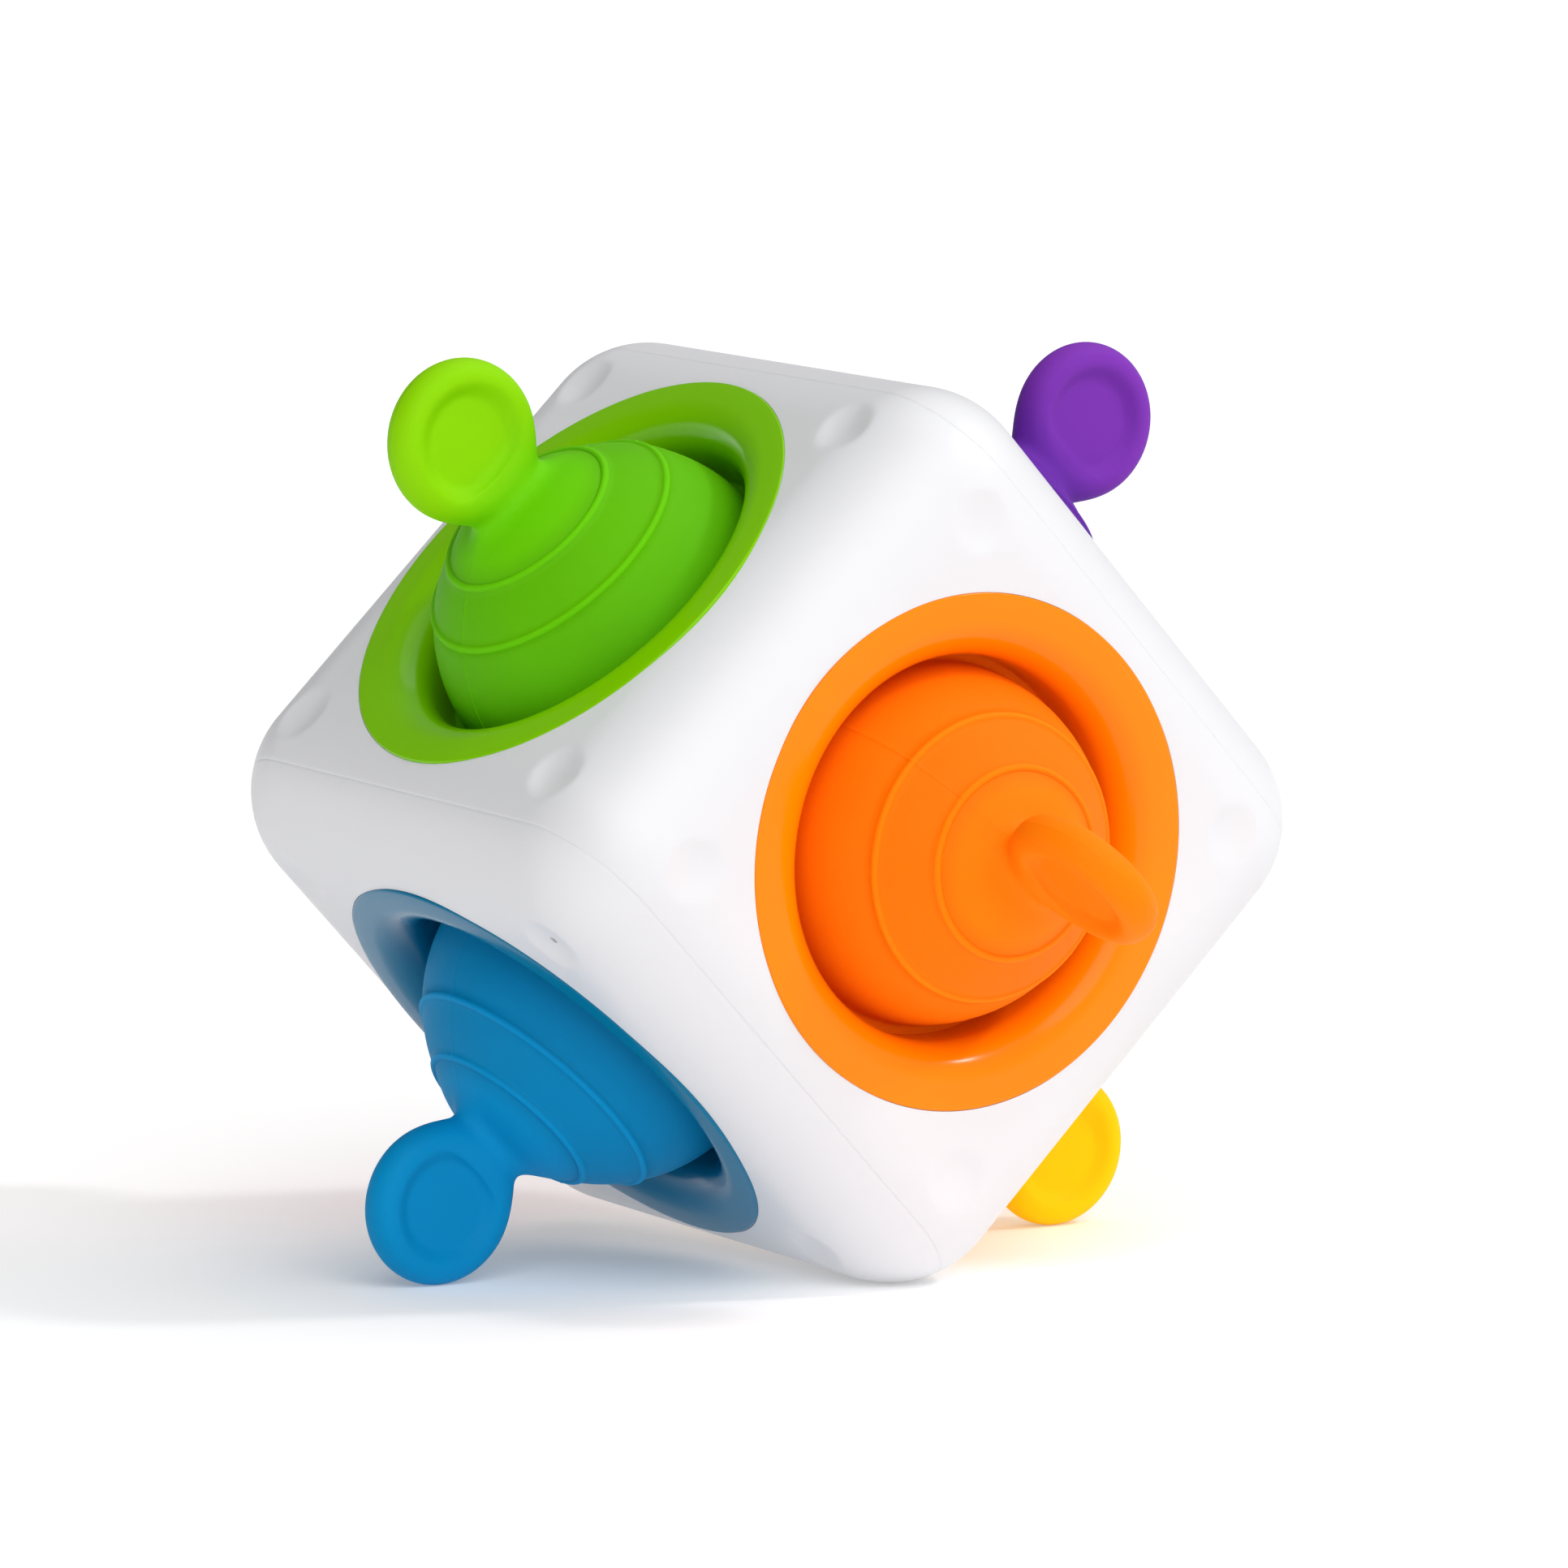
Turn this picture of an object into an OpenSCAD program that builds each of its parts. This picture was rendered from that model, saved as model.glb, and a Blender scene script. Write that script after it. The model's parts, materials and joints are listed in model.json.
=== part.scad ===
// Baby activity cube: a hollow rounded cube with a stretchy silicone tug in each of its six faces.
// The cube is described square to its own axes, centred on the origin: orange faces +X, green +Y,
// blue +Z, red -X, yellow -Y and purple -Z. stand() then tips it onto the blue tab, the yellow tab
// and the corner between the orange, blue and yellow faces, which is how it lies on a floor.

/* [Casing] */
// Side of the cube, from face to face
cube_side = 120; // [116:0.5:124]
// Radius of the rounded edges and corners
edge_r = 20; // [18:0.5:21]
// Thickness of the moulded wall
wall = 2.6; // [2.4:0.1:2.8]
// Height of the seam of each end cap above the middle of the cube, as a share of half the side
seam_share = 0.817; // [0.80:0.005:0.83]
// Radius of the shallow dimple in each corner of a face
dimple_r = 5.4; // [4:0.1:6]
// Depth of the dimple
dimple_depth = 1; // [0.6:0.1:1.2]
// Radius of the air vent in one dimple of the blue face
vent_r = 0.75; // [0.5:0.05:1]

/* [Bezels] */
// Outer radius of the coloured ring around each tug
bezel_r = 43.75; // [43:0.25:44]
// Radius of the hole that the tug stands in
throat_r = 34.5; // [34:0.25:35]
// Radius of the round lip at the mouth of the hole
lip_r = 5; // [4.5:0.25:5]
// How far the ring stands above the face
bezel_proud = 0.2; // [0.1:0.1:0.4]

/* [Tugs] */
// Radius of the dome
dome_r = 31; // [30.5:0.25:31.25]
// Thickness of the dome's wall
dome_wall = 2.4; // [2:0.1:2.8]
// Angle of the lower raised bead, measured at the dome's centre from the tug's axis
low_bead_angle = 50.6; // [48:0.1:53]
// Angle of the upper raised bead
high_bead_angle = 31.3; // [29:0.1:33]
// Radius of the beads' round section
bead_r = 0.7; // [0.5:0.1:1]
// Radius of the round tab that the fingers pull
tab_r = 14; // [13:0.25:15]
// Thickness of the tab
tab_thick = 8; // [7:0.25:8.5]
// Distance from the middle of the cube to the middle of a tab
tab_reach = 92; // [91:0.25:94]
// Width of the neck, across the flat of the tab
neck_w = 15; // [13:0.5:16]
// Radius of the finger dimple on each side of a tab
finger_r = 9.75; // [9:0.25:10]
// Depth of the finger dimple
finger_depth = 1.8; // [1:0.1:2]

/* [Fasteners] */
// Screws that hold each clamp ring
screw_count = 6; // [4:1:8]
// Radius of a screw's shank
screw_r = 1.1; // [1:0.05:1.2]
// Radius of a screw's head
head_r = 2; // [1.8:0.1:2.2]

/* [Hidden] */
$fn = 96;
half = cube_side / 2;
flat = half - edge_r;
seam = half * seam_share;
seam_gap = 0.06;
free = 0.3;                       // clearance left around what moves

// Heights below are measured along a tug's axis from the middle of the cube
seat_low = half - 5.2;            // underside of the ledge that a bezel sits on
seat_top = half - 2.2;
seat_r = bezel_r + 2.5;
hole_r = throat_r + 4.7;
bezel_top = half + bezel_proud;
tube_r = hole_r - 0.3;
tube_end = half - 13;
flange_low = tube_end - 2;
clamp_low = flange_low - 2.5;
clamp_r = hole_r + 2.1;
skirt_top = half - 2;
dome_z = half - 13.7;             // centre of the dome
dome_in_r = dome_r - dome_wall;
crown = half + 15;                // flat top of the dome, under the neck
neck_r = 4.5;                     // half the neck's thickness, and the roll that it bends on
neck_z = crown + 2;
pitch_r = (throat_r + tube_r) / 2;  // of the screws
dimple_at = flat - 0.5;
rim_r = tab_thick / 2;            // the tab's edge is fully round
lip_at = throat_r + lip_r;        // where the flat of a bezel ends and its round lip begins
lip_z = bezel_top - lip_r;
neck_top = tab_reach - tab_r + 4;
head_thick = 1.5;
screw_long = 10;
pilot_deep = 8;                   // depth of the screw holes in a bezel's tube
tongue_low = seam - 4;            // the caps' joint tongues reach down inside the middle shell
tongue_top = seam + 3;
tongue_out = flat + sqrt(pow(edge_r - wall, 2) - pow(seam - flat, 2)) - 0.3;
tongue_wall = 1.8;
FAR = 4 * cube_side;              // larger than anything in the model

// How the toy lies: it leans until the corner comes down as low as the two tabs.
// Both functions give how far below the middle of the cube something reaches at lean a.
function tab_low(a) = (tab_reach / sqrt(2) + tab_r - rim_r) * cos(a) + rim_r;
function corner_low(a) = flat * (sin(a) + sqrt(2) * cos(a)) + edge_r;
// Halving the interval again and again finds the lean at which the two agree
function lean_between(lo, hi, n) =
    let (mid = (lo + hi) / 2)
    n == 0 ? mid
    : corner_low(mid) < tab_low(mid) ? lean_between(mid, hi, n - 1)
    : lean_between(lo, mid, n - 1);
lean = lean_between(0, 15, 30);
rest_height = corner_low(lean);

// Turns that carry a tug from the blue face (+Z) to its own face
TO_ORANGE = [0, 90, 0];
TO_GREEN = [-90, 0, 0];
TO_BLUE = [0, 0, 0];
TO_RED = [0, -90, 0];
TO_YELLOW = [90, 0, 0];
TO_PURPLE = [180, 0, 0];
BELT_FACES = [TO_ORANGE, TO_GREEN, TO_RED, TO_YELLOW];

SHELL_WHITE = "#f4f4f5";
SCREW_GREY = "#9a9da1";
ORANGE = "#ff8a00";
GREEN = "#8cc800";
BLUE = "#0a82b4";
RED = "#e02a20";
YELLOW = "#ffd200";
PURPLE = "#7a3cb8";

// Tips the square-standing cube onto its two tabs and its corner
module stand() {
    translate([0, 0, rest_height]) rotate([0, lean, 0]) rotate([135, 0, 0]) children();
}

// A cube of half-side h, rounded with radius r: three slabs, twelve edge rods and eight corner balls
module rounded_cube(h, r) {
    f = h - r;
    cube([2 * h, 2 * f, 2 * f], center = true);
    cube([2 * f, 2 * h, 2 * f], center = true);
    cube([2 * f, 2 * f, 2 * h], center = true);
    for (turn = [[0, 0, 0], [90, 0, 0], [0, 90, 0]])
        rotate(turn)
            for (x = [-f, f], y = [-f, f])
                translate([x, y, 0]) cylinder(h = 2 * f, r = r, center = true);
    for (x = [-f, f], y = [-f, f], z = [-f, f])
        translate([x, y, z]) sphere(r = r);
}

// A flat ring between two radii and two heights
module ring(r_in, r_out, low, high) {
    translate([0, 0, low])
        difference() {
            cylinder(h = high - low, r = r_out);
            translate([0, 0, -1]) cylinder(h = high - low + 2, r = r_in);
        }
}

// What is added inside one face of the casing: the ledge for the bezel
module bezel_seat() {
    translate([0, 0, seat_low]) cylinder(h = half - wall / 2 - seat_low, r = seat_r);
}

// What is cut from one face of the casing: the hole, the bezel's recess and four dimples
module face_cuts() {
    ball_r = (pow(dimple_r, 2) + pow(dimple_depth, 2)) / (2 * dimple_depth);
    translate([0, 0, seat_low - 1]) cylinder(h = FAR, r = hole_r);
    translate([0, 0, seat_top]) cylinder(h = FAR, r = bezel_r + 0.15);
    for (x = [-dimple_at, dimple_at], y = [-dimple_at, dimple_at])
        translate([x, y, half - dimple_depth + ball_r]) sphere(r = ball_r);
}

// The whole hollow casing, before it is parted at the seams
module whole_casing(faces) {
    difference() {
        union() {
            difference() {
                rounded_cube(half, edge_r);
                rounded_cube(half - wall, edge_r - wall);
            }
            for (turn = faces) rotate(turn) bezel_seat();
        }
        for (turn = concat(BELT_FACES, [TO_BLUE, TO_PURPLE])) rotate(turn) face_cuts();
    }
}

// The middle of the casing, with the orange, green, red and yellow faces
module middle_shell() {
    color(SHELL_WHITE) stand()
        intersection() {
            whole_casing(BELT_FACES);
            cube([FAR, FAR, 2 * (seam - seam_gap / 2)], center = true);
        }
}

// A square ring of wall inside the seam, which a cap's joint is bonded to
module joint_tongue() {
    difference() {
        translate([0, 0, tongue_low]) linear_extrude(tongue_top - tongue_low) tongue_outline(tongue_out);
        translate([0, 0, tongue_low - 1])
            linear_extrude(tongue_top - tongue_low + 2) tongue_outline(tongue_out - tongue_wall);
    }
}

// A rounded square of half-side h
module tongue_outline(h) {
    corner = h - flat;
    square([2 * h, 2 * flat], center = true);
    square([2 * flat, 2 * h], center = true);
    for (x = [-flat, flat], y = [-flat, flat]) translate([x, y]) circle(r = corner);
}

// One end of the casing, drawn on the +Z side
module end_cap() {
    intersection() {
        whole_casing([TO_BLUE]);
        translate([0, 0, seam + seam_gap / 2 + FAR / 2]) cube(FAR, center = true);
    }
    joint_tongue();
}

module blue_end_cap() {
    color(SHELL_WHITE) stand()
        difference() {
            end_cap();
            translate([dimple_at, dimple_at, seam]) cylinder(h = FAR, r = vent_r);
        }
}

module purple_end_cap() {
    color(SHELL_WHITE) stand() rotate(TO_PURPLE) end_cap();
}

// Places for the screws, around the wall of the bezel's tube
module at_screws() {
    for (i = [0:screw_count - 1])
        rotate([0, 0, (i + 0.5) * 360 / screw_count]) translate([pitch_r, 0, 0]) children();
}

// Hard ring: a flat flange, a round lip and a tube whose end takes the screws
module bezel() {
    difference() {
        rotate_extrude() {
            translate([throat_r, tube_end]) square([tube_r - throat_r, lip_z - tube_end]);
            translate([lip_at, seat_top]) square([bezel_r - lip_at, bezel_top - seat_top]);
            intersection() {
                translate([lip_at, lip_z]) circle(r = lip_r);
                union() {
                    translate([throat_r, lip_z]) square([tube_r - throat_r, lip_r]);
                    translate([throat_r, seat_top]) square([lip_r, bezel_top - seat_top]);
                }
            }
        }
        at_screws() translate([0, 0, tube_end - 1]) cylinder(h = pilot_deep + 1, r = screw_r + 0.05);
    }
}

// Rim of the silicone moulding, which the clamp ring presses against the bezel's tube
module flange() {
    difference() {
        ring(dome_in_r, tube_r, flange_low, tube_end);
        at_screws() translate([0, 0, flange_low - 1]) cylinder(h = FAR, r = screw_r + 0.2);
    }
}

// The dome's hollow ball, which the skirt and the dome are both cut from
module dome_ball() {
    difference() {
        translate([0, 0, dome_z]) sphere(r = dome_r);
        intersection() {
            translate([0, 0, dome_z]) sphere(r = dome_in_r);
            translate([0, 0, crown - 5.5 - FAR / 2]) cube(FAR, center = true);
        }
    }
}

// Foot of the dome, which stretches as the tug is pulled
module skirt() {
    intersection() {
        dome_ball();
        ring(dome_r / 2, dome_r + 1, tube_end, skirt_top - 0.15);
    }
}

// Dome with two raised beads and, in its crown, the hollow that the neck bends in
module dome() {
    difference() {
        union() {
            intersection() {
                dome_ball();
                translate([0, 0, skirt_top + 0.15]) cylinder(h = crown - skirt_top - 0.15, r = dome_r + 1);
            }
            for (angle = [low_bead_angle, high_bead_angle])
                translate([0, 0, dome_z])
                    rotate_extrude()
                        translate([(dome_r - 0.2) * sin(angle), (dome_r - 0.2) * cos(angle)])
                            circle(r = bead_r);
        }
        translate([0, 0, neck_z]) rotate([90, 0, 0])
            cylinder(h = neck_w + 2 * free, r = neck_r + free, center = true);
    }
}

// Round finger tab with a dimple on each side, and the neck with its roll
module tab() {
    ball_r = (pow(finger_r, 2) + pow(finger_depth, 2)) / (2 * finger_depth);
    difference() {
        union() {
            translate([0, 0, tab_reach]) rotate([0, 90, 0]) {
                cylinder(h = tab_thick, r = tab_r - rim_r, center = true);
                rotate_extrude() translate([tab_r - rim_r, 0]) circle(r = rim_r);
            }
            translate([0, 0, neck_z]) rotate([90, 0, 0]) cylinder(h = neck_w, r = neck_r, center = true);
            translate([-rim_r, -neck_w / 2, neck_z]) cube([tab_thick, neck_w, neck_top - neck_z]);
        }
        for (side = [-1, 1])
            translate([side * (rim_r - finger_depth + ball_r), 0, tab_reach]) sphere(r = ball_r);
    }
}

// Ring inside the casing: its floor presses the flange and its rim bears under the bezel's ledge
module clamp_ring() {
    difference() {
        union() {
            ring(dome_r - 0.5, clamp_r, clamp_low, flange_low);
            ring(tube_r + 0.25, clamp_r, flange_low - 1, seat_low);
        }
        at_screws() translate([0, 0, clamp_low - 1]) cylinder(h = FAR, r = screw_r + 0.15);
    }
}

// The screws that draw the clamp ring towards the bezel
module screws() {
    at_screws() {
        translate([0, 0, clamp_low - head_thick]) cylinder(h = head_thick, r = head_r);
        translate([0, 0, clamp_low - head_thick]) cylinder(h = head_thick + screw_long, r = screw_r);
    }
}

module orange_bezel() { color(ORANGE) stand() rotate(TO_ORANGE) bezel(); }
module orange_flange() { color(ORANGE) stand() rotate(TO_ORANGE) flange(); }
module orange_skirt() { color(ORANGE) stand() rotate(TO_ORANGE) skirt(); }
module orange_dome() { color(ORANGE) stand() rotate(TO_ORANGE) dome(); }
module orange_tab() { color(ORANGE) stand() rotate(TO_ORANGE) tab(); }
module orange_clamp_ring() { color(SHELL_WHITE) stand() rotate(TO_ORANGE) clamp_ring(); }
module orange_screws() { color(SCREW_GREY) stand() rotate(TO_ORANGE) screws(); }

module green_bezel() { color(GREEN) stand() rotate(TO_GREEN) bezel(); }
module green_flange() { color(GREEN) stand() rotate(TO_GREEN) flange(); }
module green_skirt() { color(GREEN) stand() rotate(TO_GREEN) skirt(); }
module green_dome() { color(GREEN) stand() rotate(TO_GREEN) dome(); }
module green_tab() { color(GREEN) stand() rotate(TO_GREEN) tab(); }
module green_clamp_ring() { color(SHELL_WHITE) stand() rotate(TO_GREEN) clamp_ring(); }
module green_screws() { color(SCREW_GREY) stand() rotate(TO_GREEN) screws(); }

module blue_bezel() { color(BLUE) stand() rotate(TO_BLUE) bezel(); }
module blue_flange() { color(BLUE) stand() rotate(TO_BLUE) flange(); }
module blue_skirt() { color(BLUE) stand() rotate(TO_BLUE) skirt(); }
module blue_dome() { color(BLUE) stand() rotate(TO_BLUE) dome(); }
module blue_tab() { color(BLUE) stand() rotate(TO_BLUE) tab(); }
module blue_clamp_ring() { color(SHELL_WHITE) stand() rotate(TO_BLUE) clamp_ring(); }
module blue_screws() { color(SCREW_GREY) stand() rotate(TO_BLUE) screws(); }

module red_bezel() { color(RED) stand() rotate(TO_RED) bezel(); }
module red_flange() { color(RED) stand() rotate(TO_RED) flange(); }
module red_skirt() { color(RED) stand() rotate(TO_RED) skirt(); }
module red_dome() { color(RED) stand() rotate(TO_RED) dome(); }
module red_tab() { color(RED) stand() rotate(TO_RED) tab(); }
module red_clamp_ring() { color(SHELL_WHITE) stand() rotate(TO_RED) clamp_ring(); }
module red_screws() { color(SCREW_GREY) stand() rotate(TO_RED) screws(); }

module yellow_bezel() { color(YELLOW) stand() rotate(TO_YELLOW) bezel(); }
module yellow_flange() { color(YELLOW) stand() rotate(TO_YELLOW) flange(); }
module yellow_skirt() { color(YELLOW) stand() rotate(TO_YELLOW) skirt(); }
module yellow_dome() { color(YELLOW) stand() rotate(TO_YELLOW) dome(); }
module yellow_tab() { color(YELLOW) stand() rotate(TO_YELLOW) tab(); }
module yellow_clamp_ring() { color(SHELL_WHITE) stand() rotate(TO_YELLOW) clamp_ring(); }
module yellow_screws() { color(SCREW_GREY) stand() rotate(TO_YELLOW) screws(); }

module purple_bezel() { color(PURPLE) stand() rotate(TO_PURPLE) bezel(); }
module purple_flange() { color(PURPLE) stand() rotate(TO_PURPLE) flange(); }
module purple_skirt() { color(PURPLE) stand() rotate(TO_PURPLE) skirt(); }
module purple_dome() { color(PURPLE) stand() rotate(TO_PURPLE) dome(); }
module purple_tab() { color(PURPLE) stand() rotate(TO_PURPLE) tab(); }
module purple_clamp_ring() { color(SHELL_WHITE) stand() rotate(TO_PURPLE) clamp_ring(); }
module purple_screws() { color(SCREW_GREY) stand() rotate(TO_PURPLE) screws(); }

middle_shell();
blue_end_cap();
purple_end_cap();
orange_bezel();
orange_flange();
orange_skirt();
orange_dome();
orange_tab();
orange_clamp_ring();
orange_screws();
green_bezel();
green_flange();
green_skirt();
green_dome();
green_tab();
green_clamp_ring();
green_screws();
blue_bezel();
blue_flange();
blue_skirt();
blue_dome();
blue_tab();
blue_clamp_ring();
blue_screws();
red_bezel();
red_flange();
red_skirt();
red_dome();
red_tab();
red_clamp_ring();
red_screws();
yellow_bezel();
yellow_flange();
yellow_skirt();
yellow_dome();
yellow_tab();
yellow_clamp_ring();
yellow_screws();
purple_bezel();
purple_flange();
purple_skirt();
purple_dome();
purple_tab();
purple_clamp_ring();
purple_screws();
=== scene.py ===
# %% [markdown]
# # A baby's activity cube
# The toy is a hollow white cube of ABS with rounded edges. Each face has a coloured ABS ring, and
# through each ring stands a hollow silicone dome that ends in a round tab for small fingers. The
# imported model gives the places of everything; this lesson makes the surfaces that the eye sees.
# Everything is in metres, and MM turns a maker's millimetres into them.

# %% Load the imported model
import json
import math

import bmesh
import bpy
import numpy as np
from mathutils import Matrix, Vector


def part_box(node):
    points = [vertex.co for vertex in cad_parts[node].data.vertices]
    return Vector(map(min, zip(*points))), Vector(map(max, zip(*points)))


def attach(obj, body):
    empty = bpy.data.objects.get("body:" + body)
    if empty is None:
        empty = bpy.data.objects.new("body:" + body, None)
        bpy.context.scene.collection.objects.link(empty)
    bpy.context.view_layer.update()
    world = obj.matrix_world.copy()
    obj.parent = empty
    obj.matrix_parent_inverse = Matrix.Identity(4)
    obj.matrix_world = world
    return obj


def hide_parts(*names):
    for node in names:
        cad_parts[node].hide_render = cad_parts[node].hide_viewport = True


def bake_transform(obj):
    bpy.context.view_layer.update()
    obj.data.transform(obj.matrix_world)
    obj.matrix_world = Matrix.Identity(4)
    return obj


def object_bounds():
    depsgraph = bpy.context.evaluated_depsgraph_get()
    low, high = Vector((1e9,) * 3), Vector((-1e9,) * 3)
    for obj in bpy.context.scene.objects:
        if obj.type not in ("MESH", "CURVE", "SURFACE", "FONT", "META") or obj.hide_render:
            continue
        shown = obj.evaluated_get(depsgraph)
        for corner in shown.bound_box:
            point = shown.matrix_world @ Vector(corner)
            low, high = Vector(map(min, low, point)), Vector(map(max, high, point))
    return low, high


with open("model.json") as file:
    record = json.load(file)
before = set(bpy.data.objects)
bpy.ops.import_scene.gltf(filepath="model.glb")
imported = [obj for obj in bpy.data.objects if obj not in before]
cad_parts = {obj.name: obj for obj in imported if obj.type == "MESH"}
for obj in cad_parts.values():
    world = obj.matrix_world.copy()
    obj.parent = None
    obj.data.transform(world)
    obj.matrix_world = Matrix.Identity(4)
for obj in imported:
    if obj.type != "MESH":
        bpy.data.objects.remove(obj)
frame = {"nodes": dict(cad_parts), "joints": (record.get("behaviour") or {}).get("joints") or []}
cad_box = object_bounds()
MM = 0.001
size_mm = (cad_box[1] - cad_box[0]) / MM
print("packed model:", len(frame["nodes"]), "nodes,", [round(v, 1) for v in size_mm], "mm")

# %% [markdown]
# ## Where each face is
# The cube lies tipped on two tabs and a corner, so its faces aren't square to the floor. Each
# face has its own axes: z out along its tug, y along the roll that the tab bends on, and x square
# to the flat of the tab. The joints hold both directions, so nothing is measured again here.
# Working in a face's own axes lets one function make all six rings and all six tugs.

# %% Axes of the six faces
joints = {joint["name"]: joint for joint in frame["joints"]}
low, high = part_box("middle_shell")
cube_middle = (low + high) / 2
COLOURS = ["orange", "green", "blue", "red", "yellow", "purple"]


def face_axes(colour):
    """The turn and shift from a face's own axes, in millimetres, to the row frame, in metres."""
    out = Vector(joints[colour + "_pull"]["axis"])
    along = Vector(joints[colour + "_bend"]["axis"])
    turn = Matrix((along.cross(out), along, out)).transposed()
    return Matrix.Translation(cube_middle) @ turn.to_4x4() @ Matrix.Scale(MM, 4)


FACES = {colour: face_axes(colour) for colour in COLOURS}
print("middle of the cube:", [round(v / MM, 2) for v in cube_middle], "mm")

# %% [markdown]
# ## Camera and floor
# The camera stands far off with a long lens, as for a catalogue, so the cube keeps nearly
# parallel edges. It looks almost level, from the corner between the green, orange and blue faces.
# The floor is a plain white sheet that sweeps up far from the toy, so that no horizon shows.

# %% Camera
VIEW_TURN = math.radians(55.16)
VIEW_RISE = math.radians(4.95)
VIEW_DISTANCE = 1.494
SENSOR_MM = 36
LENS_MM = 198.2
AIM_RIGHT = 3.0
AIM_UP = 3.6
back = Vector((
    math.sin(VIEW_TURN) * math.cos(VIEW_RISE),
    -math.cos(VIEW_TURN) * math.cos(VIEW_RISE),
    math.sin(VIEW_RISE),
))
right = Vector((math.cos(VIEW_TURN), math.sin(VIEW_TURN), 0))
up = back.cross(right)
lens = bpy.data.cameras.new("lens")
lens.sensor_width = SENSOR_MM
lens.lens = LENS_MM
camera = bpy.data.objects.new("camera", lens)
bpy.context.scene.collection.objects.link(camera)
aim = cube_middle + (AIM_RIGHT * right + AIM_UP * up) * MM
camera_turn = Matrix((right, up, back)).transposed().to_4x4()
camera.matrix_world = Matrix.Translation(aim + back * VIEW_DISTANCE) @ camera_turn
bpy.context.scene.camera = camera
print("camera at", [round(v, 3) for v in camera.matrix_world.translation], "m")

# %% [markdown]
# ## Small helpers
# A material is a tree of nodes. One function adds a node, sets its settings and its input
# values, and links the inputs that are given as (node, output). Colours are written as sRGB
# hex, as a paint chart gives them, and turned to the linear values that light is added up in.

# %% Helpers for materials
def linear(hex_colour):
    """An sRGB hex colour as linear red, green, blue and alpha, by the curve of the sRGB standard."""
    channels = [int(hex_colour[i:i + 2], 16) / 255 for i in (1, 3, 5)]
    return [c / 12.92 if c <= 0.04045 else ((c + 0.055) / 1.055) ** 2.4 for c in channels] + [1]


def put(tree, kind, inputs=None, **settings):
    """Adds a node. inputs maps a socket's name or number to a value, or to (node, output) for a link."""
    node = tree.nodes.new(kind)
    for name, value in settings.items():
        setattr(node, name, value)
    for name, value in (inputs or {}).items():
        if isinstance(value, tuple) and isinstance(value[0], bpy.types.Node):
            tree.links.new(value[0].outputs[value[1]], node.inputs[name])
        else:
            node.inputs[name].default_value = value
    return node


def new_material(name):
    """An empty material and its node tree."""
    material = bpy.data.materials.new(name)
    material.use_nodes = True
    material.node_tree.nodes.clear()
    return material, material.node_tree


print("helpers for materials: linear, put and new_material")

# %% [markdown]
# ## The floor and the studio
# The toy stands on a white diffuser sheet with lamps under it, as on a product table, so shadows
# stay pale. A broad softbox stands near the camera, a weaker one hangs high on the right, and white
# walls all round are brighter on the right: the right side of the cube goes almost white and the
# upper left stays a soft grey. A small lamp gives the one crisp highlight, on the orange ring's lip.

# %% Floor
FLOOR_GLOW = 0.19


def white_sheet():
    """A white diffuser sheet lit from below: no gloss, so no reflection of the toy lies on it."""
    material, tree = new_material("white_diffuser_sheet")
    shader = put(tree, "ShaderNodeBsdfPrincipled", {
        "Base Color": linear("#fafafa"), "Roughness": 0.9, "Specular IOR Level": 0.0,
        "Emission Color": linear("#ffffff"), "Emission Strength": FLOOR_GLOW})
    put(tree, "ShaderNodeOutputMaterial", {"Surface": (shader, "BSDF")})
    return material


FLOOR_R = 5.0
COVE_R = 1.0
COVE_TURNS = (0.1, 1.4)
COVE_STEPS = 14
SIDES = 96
cove = [(FLOOR_R, 0.0)]
cove += [
    (FLOOR_R + COVE_R * math.sin(a), COVE_R - COVE_R * math.cos(a))
    for a in np.linspace(*COVE_TURNS, COVE_STEPS)]
round_turns = np.linspace(0, math.tau, SIDES, False)
sheet = bmesh.new()
rounds = [[sheet.verts.new((r * math.cos(a), r * math.sin(a), z)) for a in round_turns] for r, z in cove]
sheet.faces.new(rounds[0])
for inner, outer in zip(rounds, rounds[1:]):
    for i in range(SIDES):
        sheet.faces.new((inner[i - 1], outer[i - 1], outer[i], inner[i])).smooth = True
floor_mesh = bpy.data.meshes.new("floor")
sheet.to_mesh(floor_mesh)
sheet.free()
floor = bpy.data.objects.new("floor", floor_mesh)
floor_mesh.materials.append(white_sheet())
bpy.context.scene.collection.objects.link(floor)
print("floor:", 2 * FLOOR_R, "m across, with a cove of", COVE_R, "m")

# %% Lights
def studio_sun(name, turn, rise, strength, spread):
    """A far soft light. turn is from the camera's right, anticlockwise from above, in degrees."""
    light = bpy.data.lights.new(name, "SUN")
    light.energy = strength
    light.angle = math.radians(spread)
    lamp = bpy.data.objects.new(name, light)
    bpy.context.scene.collection.objects.link(lamp)
    away = Vector((0, 0, 1)).cross(right)
    a = math.radians(turn)
    e = math.radians(rise)
    level = right * math.cos(a) + away * math.sin(a)
    towards = level * math.cos(e) + Vector((0, 0, math.sin(e)))
    lamp.rotation_euler = towards.to_track_quat("Z", "Y").to_euler()


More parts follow.
